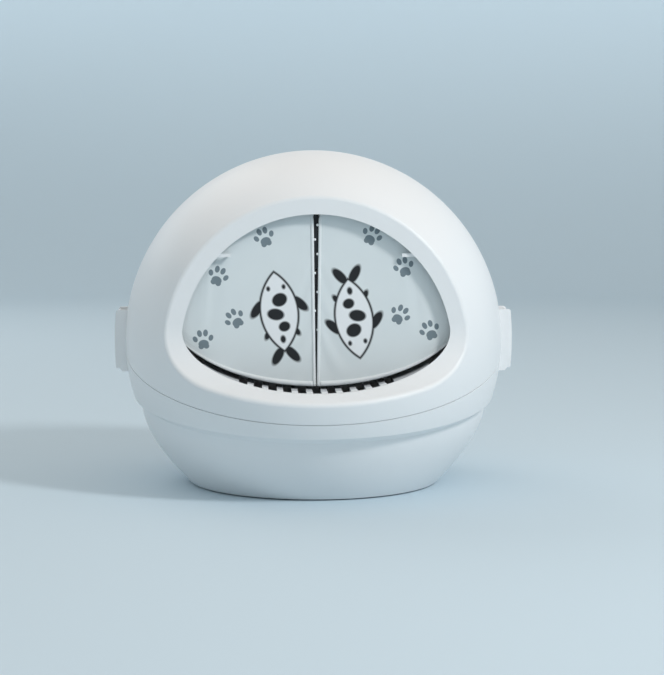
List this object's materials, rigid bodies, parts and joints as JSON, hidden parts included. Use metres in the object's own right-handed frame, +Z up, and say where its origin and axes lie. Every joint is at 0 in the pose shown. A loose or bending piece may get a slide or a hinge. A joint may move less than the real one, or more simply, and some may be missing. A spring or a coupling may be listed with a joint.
{
  "type": "hooded litter box",
  "caption": "Egg-shaped hooded cat litter box: lift-off hood on a bowl pan, side latches, two-panel entrance curtain and slotted sill.",
  "frame": {"origin": "on the floor under the middle of the box's overall length and width", "axes": "+Z up, entrance faces -Y, +X to the right when looking into the entrance"},
  "size_m": [0.474, 0.5038, 0.396],
  "materials": {
    "shell_plastic": "fine satin moulded white",
    "curtain_cloth": "light woven polyester",
    "black_tape": "black woven tape",
    "pin_steel": "plain pin",
    "pad_rubber": "grey anti-slip rubber"
  },
  "bodies": {
    "base": {"base_pan": "shell_plastic", "foot_pad_front_left": "pad_rubber", "foot_pad_front_right": "pad_rubber", "foot_pad_back_left": "pad_rubber", "foot_pad_back_right": "pad_rubber"},
    "hood": {"hood_shell": "shell_plastic", "entry_grate": "shell_plastic", "centre_stay": "black_tape", "curtain_header_left": "curtain_cloth", "curtain_header_right": "curtain_cloth", "curtain_hook_left": "shell_plastic", "curtain_hook_right": "shell_plastic", "latch_pin_left": "pin_steel", "latch_pin_right": "pin_steel"},
    "latch_left": {"latch_left": "shell_plastic"},
    "latch_right": {"latch_right": "shell_plastic"},
    "curtain_left": {"curtain_left": "curtain_cloth", "closure_strip_left": "black_tape"},
    "curtain_right": {"curtain_right": "curtain_cloth", "closure_strip_right": "black_tape"}
  },
  "joints": [
    {"name": "hood_lift", "type": "slide", "parent": "base", "child": "hood", "axis": [0, 0, 1], "range_m": [0, 0.25]},
    {"name": "latch_left_swing", "type": "hinge", "parent": "hood", "child": "latch_left", "pos_m": [-0.2306, 0, 0.198], "axis": [0, 1, 0], "range_deg": [0, 90]},
    {"name": "latch_right_swing", "type": "hinge", "parent": "hood", "child": "latch_right", "pos_m": [0.2306, 0, 0.198], "axis": [0, -1, 0], "range_deg": [0, 90]},
    {"name": "curtain_left_swing", "type": "hinge", "parent": "hood", "child": "curtain_left", "pos_m": [-0.08, -0.1548, 0.262], "axis": [1, 0, 0], "range_deg": [0, 70]},
    {"name": "curtain_right_swing", "type": "hinge", "parent": "hood", "child": "curtain_right", "pos_m": [0.08, -0.1548, 0.262], "axis": [1, 0, 0], "range_deg": [0, 70]}
  ]
}
